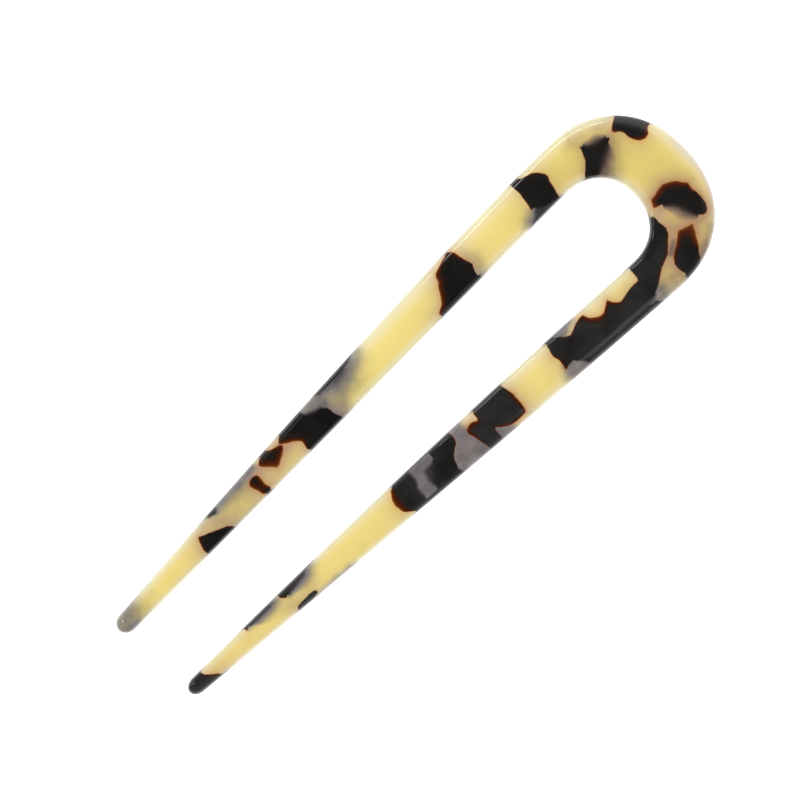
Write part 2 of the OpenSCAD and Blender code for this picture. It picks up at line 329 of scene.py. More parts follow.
        (5.0, -11.5, 0.8), (5.2, -15.2, 0.8), (5.0, -18.2, 0.8), (-4.0, -18.2, 0.8),
        (-4.2, -14.6, 0.8), (-2.2, -12.4, 0.8), (-0.6, -11.4, 0.8), (0.4, -10.6, 0.8),
        (0.6, -6.4, 0.8), (3.0, -6.4, 1.0), (3.3, -8.6, 1.2), (3.6, -10.2, 1.0)]),
    "veil_arch_rim": (0.6, 0, [
        (6.8, -13.0, 0.9), (8.6, -13.6, 1.0), (10.6, -15.4, 1.0), (12.0, -18.4, 1.0),
        (6.8, -18.4, 1.0)]),
    "veil_block_left": (0.49, 0, [
        (-12.5, -6.6, 0.6), (-12.2, -10.8, 0.6), (-13.2, -12.0, 0.6), (-13.4, -17.0, 0.6),
        (-6.5, -17.0, 0.7), (-6.4, -13.6, 0.7), (-5.2, -11.4, 0.7), (-4.4, -9.6, 0.7),
        (-4.2, -6.6, 0.7)]),
    "veil_block_dark": (0.12, 0, [
        (-8.6, -10.4, 0.8), (-6.2, -10.2, 0.8), (-5.6, -11.6, 0.8), (-6.6, -13.6, 0.8),
        (-8.6, -14.4, 0.8), (-9.2, -12.4, 0.8)]),
    "veil_block_under": (0.1, 0, [
        (-8.6, -14.2, 0.5), (-5.4, -13.9, 0.5), (-2.8, -14.6, 0.5), (-2.9, -17.4, 0.5),
        (-8.8, -17.0, 0.5)]),
    "veil_rim_high": (0.45, 0, [
        (-45.2, -7.0, 0.7), (-45.4, -9.6, 0.7), (-43.0, -9.5, 0.9), (-41.0, -8.6, 1.0),
        (-39.4, -8.0, 1.2), (-37.8, -7.0, 1.2)]),
    "veil_rim_low": (0.62, 0, [
        (-56.0, -7.0, 0.6), (-56.0, -8.8, 0.6), (-53.0, -9.0, 0.7), (-49.6, -8.8, 0.7),
        (-48.2, -8.4, 0.7), (-48.0, -7.0, 0.7)]),
    "veil_left_low_top": (0.70, 0, [
        (-19.2, 14.6, 0.7), (-17.6, 13.0, 0.7), (-14.6, 12.2, 0.7), (-12.2, 12.6, 0.8),
        (-11.8, 17.6, 0.8), (-19.2, 17.4, 0.7)]),
    "veil_left_low_right": (0.5, 0, [
        (-15.0, 12.8, 1.4), (-14.4, 10.4, 1.4), (-13.8, 7.8, 1.4), (-12.6, 7.8, 1.8),
        (-12.7, 10.0, 1.8), (-12.8, 12.0, 1.8), (-12.4, 14.0, 1.8), (-14.6, 14.4, 1.4)]),
    "veil_left_low_wide": (0.95, 0, [
        (-14.2, 8.0, 2.0), (-11.6, 8.0, 2.0), (-10.2, 10.2, 2.2), (-8.6, 12.0, 2.4),
        (-6.0, 13.2, 2.4), (-3.2, 14.7, 2.2), (-0.8, 16.2, 2.0), (-0.8, 18.6, 2.0),
        (-14.6, 17.6, 2.0), (-14.6, 12.8, 2.0)]),
    "veil_left_low_strip": (0.1, 0, [
        (-12.9, 17.6, 1.2), (-12.5, 15.9, 2.4), (-9.0, 15.75, 4.2), (-6.4, 16.0, 4.2),
        (-4.6, 16.6, 3.0), (-3.8, 18.6, 2.0)]),
    "veil_left_rim": (0.5, 0, [
        (-47.0, 15.4, 0.3), (-46.8, 13.6, 0.5), (-45.6, 13.3, 1.6), (-42.0, 13.5, 2.8),
        (-38.0, 13.6, 2.6), (-34.0, 13.5, 1.2), (-32.4, 13.9, 0.8), (-31.6, 16.4, 0.6)]),
    "veil_left_between": (1.6, 0, [
        (-49.0, 12.6, 2.0), (-45.0, 10.4, 2.0), (-42.6, 7.4, 2.0), (-35.6, 7.4, 1.6),
        (-35.4, 13.6, 1.6), (-42.0, 14.6, 2.0), (-48.0, 14.6, 2.0)]),
    "veil_left_pinch": (1.5, 0, [
        (-46.6, 10.6, 1.6), (-44.4, 9.4, 1.6), (-43.0, 8.0, 1.6), (-42.0, 8.6, 1.6),
        (-42.2, 10.6, 1.6), (-43.6, 12.2, 1.6), (-46.4, 12.4, 1.6)]),
    "veil_right_between": (1.75, 0, [
        (-48.8, -8.4, 2.0), (-40.0, -8.2, 2.0), (-39.6, -11.4, 2.0), (-41.0, -13.6, 2.0),
        (-46.4, -13.4, 2.0), (-48.8, -10.6, 2.0)]),
    "veil_right_low_rim": (0.95, 0, [
        (-41.0, -13.0, 0.8), (-36.0, -13.2, 0.8), (-32.2, -13.5, 0.8), (-30.8, -14.1, 0.8),
        (-31.0, -16.0, 0.8), (-41.0, -15.6, 0.8)]),
    "veil_left_tip": (0.72, 0, [
        (-77.0, 5.0, 4.5), (-71.9, 5.0, 4.5), (-71.4, 7.0, 4.5), (-70.8, 9.0, 4.5),
        (-70.0, 12.5, 4.5), (-77.0, 12.5, 4.5)]),
    "veil_left_tip_core": (0.55, 0, [
        (-73.4, 7.0, 1.2), (-70.8, 6.8, 1.2), (-70.3, 8.0, 1.2), (-71.6, 8.7, 1.2),
        (-73.4, 8.4, 1.2)]),
}


def mix(start, end, share):
    return start + (end - start) * share


def smooth_step(value, low, high):
    share = np.clip((value - low) / (high - low), 0, 1)
    return share * share * (3 - 2 * share)


def taper(at_bow, at_tip, share, hold):
    return at_bow + (at_tip - at_bow) * share ** hold


def tip_x(side):
    return -PIN_LEN / 2 + TIP_ROUND + TIP_SHORT[side]


def tip_mid_y(side):
    return side * (TIPS_APART - TIP_W[side]) / 2


def bow_point(mid_x, mid_y, radius, angle):
    """A point of a superellipse about a centre, at an angle from the +X axis."""
    across, along = np.sin(angle), np.cos(angle)
    power = 2 / BOW_SQUARE
    return np.stack([mid_x + radius * np.abs(along) ** power,
                     mid_y + radius * np.sign(across) * np.abs(across) ** power], 1)


def leg_stations(side, share):
    """Slot side, outer side, reaches of the roundings and height share, along one leg."""
    inner_x = PIN_LEN / 2 - BAND_D - (BOW_W - LEG_W[1] - LEG_W[-1]) / 2
    outer_x = PIN_LEN / 2 - BOW_W / 2
    outer_y = taper(BOW_W, TIPS_APART, share, OUTSIDE_HOLD[side]) / 2
    width = taper(LEG_W[side], TIP_W[side], share, LEG_HOLD[side])
    inner = np.stack([mix(inner_x, tip_x(side), share), side * (outer_y - width)], 1)
    outer = np.stack([mix(outer_x, tip_x(side), share), side * outer_y], 1)
    ones = np.ones_like(share)
    return inner, outer, SLOT_ROUND * ones, OUTER_ROUND[side] * ones, ones


def bow_stations(share):
    slot_w = BOW_W - LEG_W[1] - LEG_W[-1]
    angle = np.pi * (0.5 - share)
    inner = bow_point(PIN_LEN / 2 - BAND_D - slot_w / 2, (LEG_W[-1] - LEG_W[1]) / 2, slot_w / 2, angle)
    outer = bow_point(PIN_LEN / 2 - BOW_W / 2, 0, BOW_W / 2, angle)
    ones = np.ones_like(share)
    reach = mix(OUTER_ROUND[1], OUTER_ROUND[-1], share) + BOW_SWELL * np.sin(np.pi * share)
    return inner, outer, SLOT_ROUND * ones, reach, ones


def tip_stations(side, angle):
    x = tip_x(side) - TIP_ROUND * np.sin(angle)
    half_w = side * TIP_W[side] / 2 * np.cos(angle)
    inner = np.stack([x, tip_mid_y(side) - half_w], 1)
    outer = np.stack([x, tip_mid_y(side) + half_w], 1)
    return inner, outer, SLOT_ROUND * np.cos(angle), OUTER_ROUND[side] * np.cos(angle), np.cos(angle)


def all_stations():
    """Every section of the pin, from the left tip round the bow to the right tip."""
    tip = np.pi / 2 * np.arange(1, TIP_STEPS) / TIP_STEPS
    leg = np.arange(1, LEG_STEPS + 1) / LEG_STEPS
    bow = np.arange(BOW_STEPS + 1) / BOW_STEPS
    runs = [tip_stations(1, tip[::-1]), leg_stations(1, leg[::-1]), bow_stations(bow),
            leg_stations(-1, leg), tip_stations(-1, tip)]
    return [np.concatenate(column) for column in zip(*runs)]


def polish(length):
    """Slow wander of a rounding's reach along the pin."""
    waves = sum(np.sin(2 * np.pi * length / wave + phase) for wave, phase in POLISH_WAVES)
    return 1 + POLISH_WANDER * waves / len(POLISH_WAVES)


def section_grid():
    """Points of every section in mm, how far each lies from the pin's outline, and where it is
    across the section, from -1 at the right to 1 at the left."""
    inner, outer, slot_round, outer_round, height = all_stations()
    width = np.linalg.norm(outer - inner, axis=1)
    length = np.concatenate([[0], np.cumsum(np.linalg.norm(np.diff(outer, axis=0), axis=1))])
    slot_round = slot_round * polish(length)
    outer_round = outer_round * polish(length + PIN_LEN)
    limit = np.minimum(1, ROUND_SHARE * width / (slot_round + outer_round))
    slot_share = (slot_round * limit / width)[:, None]
    outer_share = (outer_round * limit / width)[:, None]
    angle = np.pi * (np.arange(EDGE_STRIPS + 1) / EDGE_STRIPS - 0.5)[None]
    reach = 1 - np.cos(angle)
    across = (np.arange(1, FACE_STRIPS) / FACE_STRIPS)[None]
    top_share = mix(1 - outer_share, slot_share, across)
    rows = np.ones((len(width), 1))
    share = np.concatenate([1 - outer_share * reach, top_share,
                            slot_share * reach[:, ::-1], top_share[:, ::-1]], 1)
    rise = np.concatenate([rows * np.sin(angle), rows * np.ones_like(across),
                           rows * np.sin(angle[:, ::-1]), -rows * np.ones_like(across)], 1)
    plan = inner[:, None] + (outer - inner)[:, None] * share[:, :, None]
    z = SHEET_T / 2 * (1 + height[:, None] * rise)
    pull = mix(TIP_PULL, 1.0, smooth_step(outer[:, :1], *TIP_PULL_ALONG))
    # The pulls widen the pale rims where they face left: painted light on top of the stock's own pale rim
    slot_pull = pull * mix(*SLOT_PULL, smooth_step(inner[:, 1:], *SLOT_PULL_ACROSS))
    outer_pull = pull * mix(*OUTER_PULL, smooth_step(outer[:, 1:], *OUTER_PULL_ACROSS))
    from_rim = np.minimum(share * slot_pull, (1 - share) * outer_pull) * width[:, None]
    leftward = (2 * share - 1) * (outer - inner)[:, 1:] / width[:, None]
    return np.concatenate([plan, z[:, :, None]], 2), from_rim, leftward


def make_pin():
    """The whole pin as one closed, smooth mesh, with each point's distance from the outline
    and its place across the section."""
    grid, from_rim, leftward = section_grid()
    rows, ring = grid.shape[:2]
    ends = [[tip_x(side) - TIP_ROUND, tip_mid_y(side), SHEET_T / 2] for side in (1, -1)]
    points = np.concatenate([grid.reshape(-1, 3), ends])
    a = (np.arange(rows - 1)[:, None] * ring + np.arange(ring)[None])
    b = (np.arange(rows - 1)[:, None] * ring + (np.arange(ring) + 1)[None] % ring)
    quads = np.stack([a, b, b + ring, a + ring], 2).reshape(-1, 4)
    first, last = rows * ring, rows * ring + 1
    caps = [(first, (i + 1) % ring, i) for i in range(ring)]
    foot = (rows - 1) * ring
    caps += [(last, foot + i, foot + (i + 1) % ring) for i in range(ring)]
    mesh = bpy.data.meshes.new("tortoiseshell_pin")
    mesh.from_pydata((points * MM).tolist(), [], quads.tolist() + caps)
    mesh.shade_smooth()
    mesh.validate()
    pin = bpy.data.objects.new("tortoiseshell_pin", mesh)
    bpy.context.scene.collection.objects.link(pin)
    return pin, points, [np.concatenate([field.ravel(), [0, 0]]) for field in (from_rim, leftward)]


def outline_field(plan, outline):
    """Signed distance to an outline, negative inside, and the lean of its nearest side."""
    start = np.array(outline)
    end = np.roll(start, -1, 0)
    side = end - start
    away = plan[:, None] - start[None, :, :2]
    along = (away * side[:, :2]).sum(2) / (side[:, :2] ** 2).sum(1)
    along = np.clip(along, 0, 1)
    gap = np.linalg.norm(away - along[:, :, None] * side[:, :2], axis=2)
    above = plan[:, None, 1] < start[None, :, 1]
    crosses = above != (plan[:, None, 1] < end[None, :, 1])
    rise = np.where(side[:, 1] == 0, 1, side[:, 1])
    crossing_x = start[:, 0] + (plan[:, None, 1] - start[:, 1]) / rise * side[:, 0]
    inside = (crosses & (plan[:, None, 0] < crossing_x)).sum(1) % 2 == 1
    weight = 1 / (gap ** 2 + LEAN_MELD) ** 2
    lean = (weight * (start[:, 2] + along * side[:, 2])).sum(1) / weight.sum(1)
    return np.where(inside, -1, 1) * gap.min(1), lean


def veil_wander(points):
    """Slow wander of the edges of the chips that lie under cream."""
    x, y = 2 * np.pi * points[:, 0], 2 * np.pi * points[:, 1]
    waves = sum(np.sin(x / wave + phase) * np.cos(y / wave + turn) for wave, phase, turn in VEIL_WAVES)
    return VEIL_WANDER * waves / len(VEIL_WAVES)


def seen_from_above(points, depth, gap, lean, crisp):
    """Cream between the upper face and a chip, in mm."""
    if depth > 0:
        far = gap + veil_wander(points)
        soft = np.maximum(far, 0) + VEIL_BLUR * np.exp(np.minimum(far, 0) / VEIL_BLUR)
        return depth + soft / np.maximum(lean, LEAST_LEAN)
    smoke = np.hypot(np.maximum(gap, 0), SMOKE_BLUR) - SMOKE_BLUR
    return smoke / np.maximum(lean, LEAST_LEAN) + HIDDEN_DEPTH * crisp


def chip_fields(points, normals):
    """What each point of the surface sees of the chips: distance to a chip's edge, that
    edge's lean, the cream above the nearest chip, and the blush of the cream."""
    count = len(points)
    below = SHEET_T - points[:, 2]
    up = smooth_step(normals[:, 2], *FACE_RISE)
    down = smooth_step(-normals[:, 2], *FACE_RISE)
    sideways = 1 - up - down
    edge = np.full(count, HIDDEN_DEPTH)
    edge_lean = np.zeros(count)
    shade = np.zeros(count)
    blush = np.zeros(count)
    for depth, glow, outline in CHIPS.values():
        gap, lean = outline_field(points[:, :2], outline)
        spread = SPREAD_DEPTH * (1 - np.exp(-np.maximum(below - depth, 0) / SPREAD_DEPTH))
        here = gap - lean * spread
        body = np.maximum(here, depth - below) if depth > 0 else here
        lean_seen = up * lean - BELOW_LEAN * down * lean - SIDE_LEAN * sideways
        nearer = (body < edge) & (depth < WISP_DEPTH)
        edge = np.where(nearer, body, edge)
        edge_lean = np.where(nearer, lean_seen, edge_lean)
        crisp = 1 - smooth_step(lean_seen, *CRISP_LEAN) if depth == 0 else np.zeros(count)
        seen = seen_from_above(points, depth, gap, lean, crisp)
        if depth < WISP_DEPTH:
            lean_below = np.maximum(-BELOW_LEAN * lean, LEAST_LEAN)
            from_below = np.where(here > 0, here / lean_below, HIDDEN_DEPTH * crisp)
            from_side = np.maximum(body, 0) / SIDE_BLUR
            seen = up * seen + down * from_below + sideways * from_side
        shade += np.exp(-np.minimum(seen, HIDDEN_DEPTH) / MERGE_DEPTH)
        blush += glow * np.exp(-np.maximum(gap, 0) / BLUSH_REACH)
    cream_above = -MERGE_DEPTH * np.log(np.maximum(shade, TINY))
    return edge, edge_lean, np.clip(cream_above, 0, HIDDEN_DEPTH), np.minimum(blush, MOST_BLUSH)


def add_field(mesh, name, values):
    field = mesh.attributes.new(name, "FLOAT", "POINT")
    field.data.foreach_set("value", np.asarray(values, np.float32))


class Tree:
    """Short calls for the nodes of one material."""

    def __init__(self, name):
        self.material = bpy.data.materials.new(name)
        self.material.use_nodes = True
        self.nodes = self.material.node_tree.nodes
        self.links = self.material.node_tree.links
        self.shader = self.nodes["Principled BSDF"]

    def put(self, kind, inputs=(), **settings):
        made = self.nodes.new(kind)
        for key, value in settings.items():
            setattr(made, key, value)
        for key, value in dict(inputs).items():
            self.feed(made.inputs[key], value)
        return made

    def feed(self, socket, value):
        if isinstance(value, bpy.types.NodeSocket):
            self.links.new(value, socket)
        else:
            socket.default_value = value

    def field(self, name):
        return self.put("ShaderNodeAttribute", attribute_name=name).outputs["Fac"]

    def sum(self, operation, a, b=0.0):
        return self.put("ShaderNodeMath", {0: a, 1: b}, operation=operation).outputs[0]

    def noise(self, size, detail=2.0, roughness=0.5):
        """Noise whose blotches are about this many mm across, from 0 to 1."""
        place = self.put("ShaderNodeTexCoord").outputs["Object"]
        inputs = {"Vector": place, "Scale": 1 / (size * MM), "Detail": detail, "Roughness": roughness}
        return self.put("ShaderNodeTexNoise", inputs).outputs["Fac"]

    def swing(self, size, reach):
        """Noise that swings by half its reach to either side of nothing."""
        return self.sum("MULTIPLY", self.sum("SUBTRACT", self.noise(size), 0.5), reach)

    def place(self):
        """Where a point lies along and across the pin, in metres."""
        place = self.put("ShaderNodeTexCoord").outputs["Object"]
        return self.put("ShaderNodeSeparateXYZ", {0: place}).outputs[:2]

    def step(self, value, low, high, start=0.0, end=1.0):
        inputs = {"Value": value, "From Min": low, "From Max": high, "To Min": start, "To Max": end}
        made = self.put("ShaderNodeMapRange", inputs, interpolation_type="SMOOTHSTEP")
        return made.outputs["Result"]

    def span(self, place, ends, start=0.0, end=1.0):
        """A step between two places given in mm."""
        return self.step(place, ends[0] * MM, ends[1] * MM, start, end)

    def blend(self, share, a, b, how="MIX"):
        made = self.put("ShaderNodeMix", data_type="RGBA", blend_type=how)
        self.feed(made.inputs["Factor"], share)
        for socket, value in (("A", a), ("B", b)):
            target = [s for s in made.inputs if s.name == socket and s.type == "RGBA"][0]
            self.feed(target, value if isinstance(value, bpy.types.NodeSocket) else (*value, 1))
        return [s for s in made.outputs if s.type == "RGBA"][0]

    def tinted(self, share, colour, tint, how="MULTIPLY"):
        """The colour, tinted by the share given."""
        return self.blend(share, colour, self.blend(1.0, colour, tint, how))

    def ramp(self, value, stops, reach):
        """Colours at stops given in the value's own unit, up to reach."""
        made = self.put("ShaderNodeValToRGB", {"Fac": self.sum("DIVIDE", value, reach)})
        line = made.color_ramp.elements
        while len(line) < len(stops):
            line.new(1.0)
        for element, (at, colour) in zip(line, stops):
            element.position = at / reach
            element.color = (*colour, 1)
        return made.outputs["Color"]


# Linear colours, as read
CREAM_RIM = (0.88, 0.84, 0.60)
CREAM = (0.92, 0.745, 0.25)
CREAM_GOLD = (0.845, 0.665, 0.195)
BLUSH = (0.565, 0.46, 0.85)
BLUSH_RIM = (0.67, 0.56, 0.55)
# Tint of the cream right beside a chip's amber edge
AMBER_GLOW = (1.09, 0.93, 0.78)
# Tints of the cream: none by the bow, and others towards the tips. Painted shade at the right of each face
# and painted light at its left, as if lit from the left, and painted shade on the rims that face left
NO_TINT = (1.0, 1.0, 1.0)
TIPWARD = (0.945, 0.935, 0.95)
RIGHTWARD_PAINTED_SHADE = (0.935, 0.935, 0.94)
LEFTWARD_PAINTED_LIGHT = (1.04, 1.045, 1.06)
LEFT_RIM_PAINTED_SHADE = (0.87, 0.88, 0.93)
# Tint of the outermost cream at the top of the bow, where it is greyer
BOW_RIM_TINT = (0.88, 0.85, 1.05)
# Tints of the cream's fine grain and of the patches in the smoke, at their darkest and lightest
GRAIN = ((0.975, 0.97, 0.955), (1.0, 1.0, 1.0))
PATCHES = ((0.82, 0.82, 0.83), (1.2, 1.19, 1.2))
# Colour of a chip by its thickness in mm over the cream, where its side draws in, and the
# thickness past which it grows no darker
CHIP_COLOURS = [
    (0.00, (0.23, 0.075, 0.010)), (0.10, (0.105, 0.019, 0.002)), (0.26, (0.048, 0.008, 0.001)),
    (0.50, (0.010, 0.006, 0.004)), (1.00, (0.0035, 0.003, 0.0025))]
THICK_CHIP = 1.0
# Haze in the dark stock of each side of the pin
HAZE_LEFT = (0.006, 0.0055, 0.005)
HAZE_RIGHT = (0.020, 0.0195, 0.019)
# Tint of the smoke in the bow, where it is browner
SMOKE_WARM = (1.06, 0.78, 0.60)
# Colour of the smoke that a chip makes under the cream, and how much of it hides the
# cream, by the depth of cream above the chip in mm
SMOKE_COLOURS = [
    (0.00, (0.005, 0.005, 0.005)), (0.15, (0.030, 0.027, 0.029)), (0.35, (0.10, 0.09, 0.096)),
    (0.60, (0.20, 0.18, 0.186)), (0.90, (0.26, 0.235, 0.23)), (1.30, (0.30, 0.27, 0.25))]
SMOKE_COVER = [
    (0.35, (1.0, 1.0, 1.0)), (0.60, (0.85, 0.85, 0.85)), (0.90, (0.5, 0.5, 0.5)),
    (1.30, (0.2, 0.2, 0.2)), (1.80, (0.05, 0.05, 0.05)), (2.40, (0.0, 0.0, 0.0))]
# Light that the cream above a chip keeps, by its depth in mm
CREAM_LEFT = [
    (0.35, (0.2, 0.2, 0.2)), (0.60, (0.32, 0.32, 0.32)), (0.90, (0.5, 0.5, 0.5)),
    (1.30, (0.74, 0.74, 0.74)), (1.80, (0.92, 0.92, 0.92)), (2.40, (1.0, 1.0, 1.0))]

# The polish: its roughness where it is best and worst, and the strength and height in mm of
# the waves that buffing leaves
ROUGHNESS = (0.05, 0.11)
BUFF_STRENGTH = 0.04
BUFF_HEIGHT = 0.2
# The acetate's refraction, the share of the light that spreads within it, and how far that
# goes for red, green and blue, as shares of a reach in mm
ACETATE_IOR = 1.49
DIFFUSION = 0.12
DIFFUSION_SHARES = (1.0, 0.95, 0.9)
DIFFUSION_REACH = 0.25
# Sizes of the blotches of each noise, in mm
GOLD_BLOTCH = 14.0
HAZE_BLOTCH = 7.0
SMOKE_BLOTCH = 3.4
BUFF_BLOTCH = 3.0
CREAM_BLOTCH = 2.4
RUB_BLOTCH = 2.2
GRAIN_BLOTCH = 2.0
EDGE_BLOTCH = 1.5
# Shares between which the haze of the dark stock and the depth of the cream swing
HAZE_SWING = (0.35, 1.0)
DEPTH_SWING = (0.92, 1.08)

# Distances from the rim, in mm, between which the pale rim ends, the gold sets in, the blush
# takes its inner tint, and the painted shade of the left rims and the tint of the bow rim set in
RIM_FADE = (-0.8, 2.7)
GOLD_FADE = (-0.2, 3.6)
BLUSH_FADE = (0.4, 2.2)
LEFT_RIM_SHADE_FADE = (0.9, 0.1)
BOW_RIM_FADE = (1.7, 0.3)
# Places along the pin, in mm, between which these set in
TIPWARD_ALONG = (5.0, -30.0)
GOLD_ALONG = (28.0, 56.0)
SMOKE_WARM_ALONG = (52.0, 58.0)
BOW_TOP_ALONG = (64.0, 71.0)
# Places across the pin, in mm, between which the left side gives way to the right one and the
# tint of the bow's rim sets in
RIGHT_ACROSS = (4.0, -8.0)
BOW_TOP_ACROSS = (7.0, 1.0)
# The gold sets in this much nearer the top of the bow at the right, in mm
GOLD_LATER = 8.0
# Share of the haze that is left in the bow, and the places along the pin where it thins out
HAZE_IN_BOW = 0.1
HAZE_ALONG = (54.0, 61.0)
# How squarely a rim must face left for its painted shade, from where it sets in to its full strength
FACING_LEFT = (0.4, 0.95)
# Reach of the wander of the gold's border and of a chip's edge, and half the blur of that edge
GOLD_WANDER = 2.0
EDGE_WANDER = 0.30
EDGE_BLUR = 0.13
# Distances between which the glow beside an amber edge sets in, and the leans between which
# an edge gains that glow
GLOW_FADE = (1.0, 0.1)
AMBER_LEAN = (-0.5, -1.5)
# Leans between which the edge of a chip loses its amber, and the least that a chip draws in
SMOKY_LEAN = (-0.05, 0.25)
LEAST_DRAW_IN = 0.05
# Thickness of a chip, and cream above one, over which the haze of the dark stock sets in
HAZE_THICKNESS = (0.2, 0.7)
HAZE_DEPTH = (0.25, 0.0)


def cream_colour(tree):
    """Blonde stock: pale towards the rounded edges, golden in the broad band of the bow, with painted light
    at the left of each face, painted shade at its right and painted shade on the rims that face left.
    """
    from_rim, leftward = tree.field("from_rim"), tree.field("leftward")
    along, across = tree.place()
    broad = tree.step(tree.sum("ADD", from_rim, tree.swing(GOLD_BLOTCH, GOLD_WANDER)), *GOLD_FADE)
    later = tree.span(across, RIGHT_ACROSS, end=GOLD_LATER * MM)
    in_bow = tree.span(tree.sum("SUBTRACT", along, later), GOLD_ALONG)
    tipward = tree.blend(tree.span(along, TIPWARD_ALONG), NO_TINT, TIPWARD)
    # Painted light at the left of each face and painted shade at its right, as if lit from the left
    painted_crosswise_light = tree.blend(tree.step(leftward, -1.0, 1.0), RIGHTWARD_PAINTED_SHADE, LEFTWARD_PAINTED_LIGHT)
    # Painted shade on the cream of the rims that face left
    painted_left_rim_shade = tree.sum("MULTIPLY", tree.step(from_rim, *LEFT_RIM_SHADE_FADE), tree.step(leftward, *FACING_LEFT))
    bow_top = tree.sum("MULTIPLY", tree.span(along, BOW_TOP_ALONG), tree.span(across, BOW_TOP_ACROSS))
    on_bow_rim = tree.sum("MULTIPLY", tree.step(from_rim, *BOW_RIM_FADE), bow_top)
    body = tree.blend(tree.step(from_rim, *RIM_FADE), CREAM_RIM, CREAM)
    body = tree.blend(tree.sum("MULTIPLY", broad, in_bow), body, CREAM_GOLD)
    body = tree.blend(1.0, body, tree.blend(1.0, tipward, painted_crosswise_light, "MULTIPLY"), "MULTIPLY")
    body = tree.tinted(painted_left_rim_shade, body, LEFT_RIM_PAINTED_SHADE)
    body = tree.tinted(on_bow_rim, body, BOW_RIM_TINT)
    return tree.blend(1.0, body, tree.blend(tree.noise(GRAIN_BLOTCH, 3.0), *GRAIN), "MULTIPLY")


def blushed_cream(tree, edge):
    """The cream, with the blush of the chips near it and the glow of the amber edges beside it."""
    blush = tree.sum("MINIMUM", tree.field("blush"), 1.0)
    tint = tree.blend(tree.step(tree.field("from_rim"), *BLUSH_FADE), BLUSH_RIM, BLUSH)
    cream = tree.tinted(blush, cream_colour(tree), tint)
    amber = tree.step(tree.field("chip_lean"), *AMBER_LEAN)
    return tree.tinted(tree.sum("MULTIPLY", tree.step(edge, *GLOW_FADE), amber), cream, AMBER_GLOW)


def stock_haze(tree):
    """Faint haze in the dark stock, stronger in the right leg than in the left one or the bow."""
    along, across = tree.place()
    right = tree.sum("MULTIPLY", tree.span(across, RIGHT_ACROSS),
                     tree.span(along, HAZE_ALONG, 1.0, HAZE_IN_BOW))
    drift = tree.step(tree.noise(HAZE_BLOTCH), 0.3, 0.65, *HAZE_SWING)
    return tree.blend(drift, (0.0, 0.0, 0.0), tree.blend(right, HAZE_LEFT, HAZE_RIGHT))


def chip_colour(tree, edge, haze):
    """A chip at the surface: amber where its side draws in and it is thin, then near-black."""
    lean = tree.field("chip_lean")
    draw_in = tree.sum("MAXIMUM", tree.sum("MULTIPLY", lean, -1.0), LEAST_DRAW_IN)
    thickness = tree.sum("DIVIDE", tree.sum("MULTIPLY", edge, -1.0), draw_in)
    thickness = tree.sum("ADD", tree.sum("MAXIMUM", thickness, 0.0), tree.step(lean, *SMOKY_LEAN))
    chip = tree.ramp(thickness, CHIP_COLOURS, THICK_CHIP)
    return tree.tinted(tree.step(thickness, *HAZE_THICKNESS), chip, haze, "ADD")


def smoke_colour(tree, depth, haze):
    """The smoke of the chips under the cream: patchy, and browner in the bow."""
    smoke = tree.ramp(depth, SMOKE_COLOURS, HIDDEN_DEPTH)
    smoke = tree.tinted(tree.span(tree.place()[0], SMOKE_WARM_ALONG), smoke, SMOKE_WARM)
    patchy = tree.blend(tree.step(tree.noise(SMOKE_BLOTCH), 0.3, 0.7), *PATCHES)
    smoke = tree.blend(1.0, smoke, patchy, "MULTIPLY")
    return tree.tinted(tree.step(depth, *HAZE_DEPTH), smoke, haze, "ADD")


def acetate_colour(tree):
    """Cream over smoke where chips lie under it, and the chips where they reach the surface."""
    edge = tree.sum("ADD", tree.field("chip_edge"), tree.swing(EDGE_BLOTCH, EDGE_WANDER))
    cloud = tree.step(tree.noise(CREAM_BLOTCH, 3.0), 0.25, 0.75, *DEPTH_SWING)
    depth = tree.sum("MULTIPLY", tree.field("cream_above"), cloud)
    haze = stock_haze(tree)
    kept = tree.ramp(depth, CREAM_LEFT, HIDDEN_DEPTH)
    cream = tree.blend(1.0, blushed_cream(tree, edge), kept, "MULTIPLY")
    cover = tree.ramp(depth, SMOKE_COVER, HIDDEN_DEPTH)
    clouded = tree.blend(cover, cream, smoke_colour(tree, depth, haze))
    return tree.blend(tree.step(edge, EDGE_BLUR, -EDGE_BLUR), clouded, chip_colour(tree, edge, haze))


def acetate():
    """Polished cellulose acetate: cream stock with dark chips in it, some under the surface."""
    tree = Tree("tortoiseshell_acetate")
    shader = tree.shader
    tree.feed(shader.inputs["Base Color"], acetate_colour(tree))
    rub = tree.noise(RUB_BLOTCH, 4.0, 0.6)
    tree.feed(shader.inputs["Roughness"], tree.step(rub, 0.3, 0.8, *ROUGHNESS))
    shader.inputs["IOR"].default_value = ACETATE_IOR
    shader.inputs["Subsurface Weight"].default_value = DIFFUSION
    shader.inputs["Subsurface Radius"].default_value = DIFFUSION_SHARES
    shader.inputs["Subsurface Scale"].default_value = DIFFUSION_REACH * MM
    buffing = tree.noise(BUFF_BLOTCH, 3.0)
    inputs = {"Strength": BUFF_STRENGTH, "Distance": BUFF_HEIGHT * MM, "Height": buffing}
    bump = tree.put("ShaderNodeBump", inputs)
    tree.feed(shader.inputs["Normal"], bump.outputs["Normal"])
    return tree.material


def dress_pin():
    pin, points, (from_rim, leftward) = make_pin()
    normals = np.zeros(len(points) * 3, np.float32)
    pin.data.vertices.foreach_get("normal", normals)
    fields = chip_fields(points, normals.reshape(-1, 3))
    for name, values in zip(("chip_edge", "chip_lean", "cream_above", "blush"), fields):
        add_field(pin.data, name, values)
    add_field(pin.data, "from_rim", from_rim)
    add_field(pin.data, "leftward", leftward)
    pin.data.materials.append(acetate())
    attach(pin, "root")
    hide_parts("hair_pin")


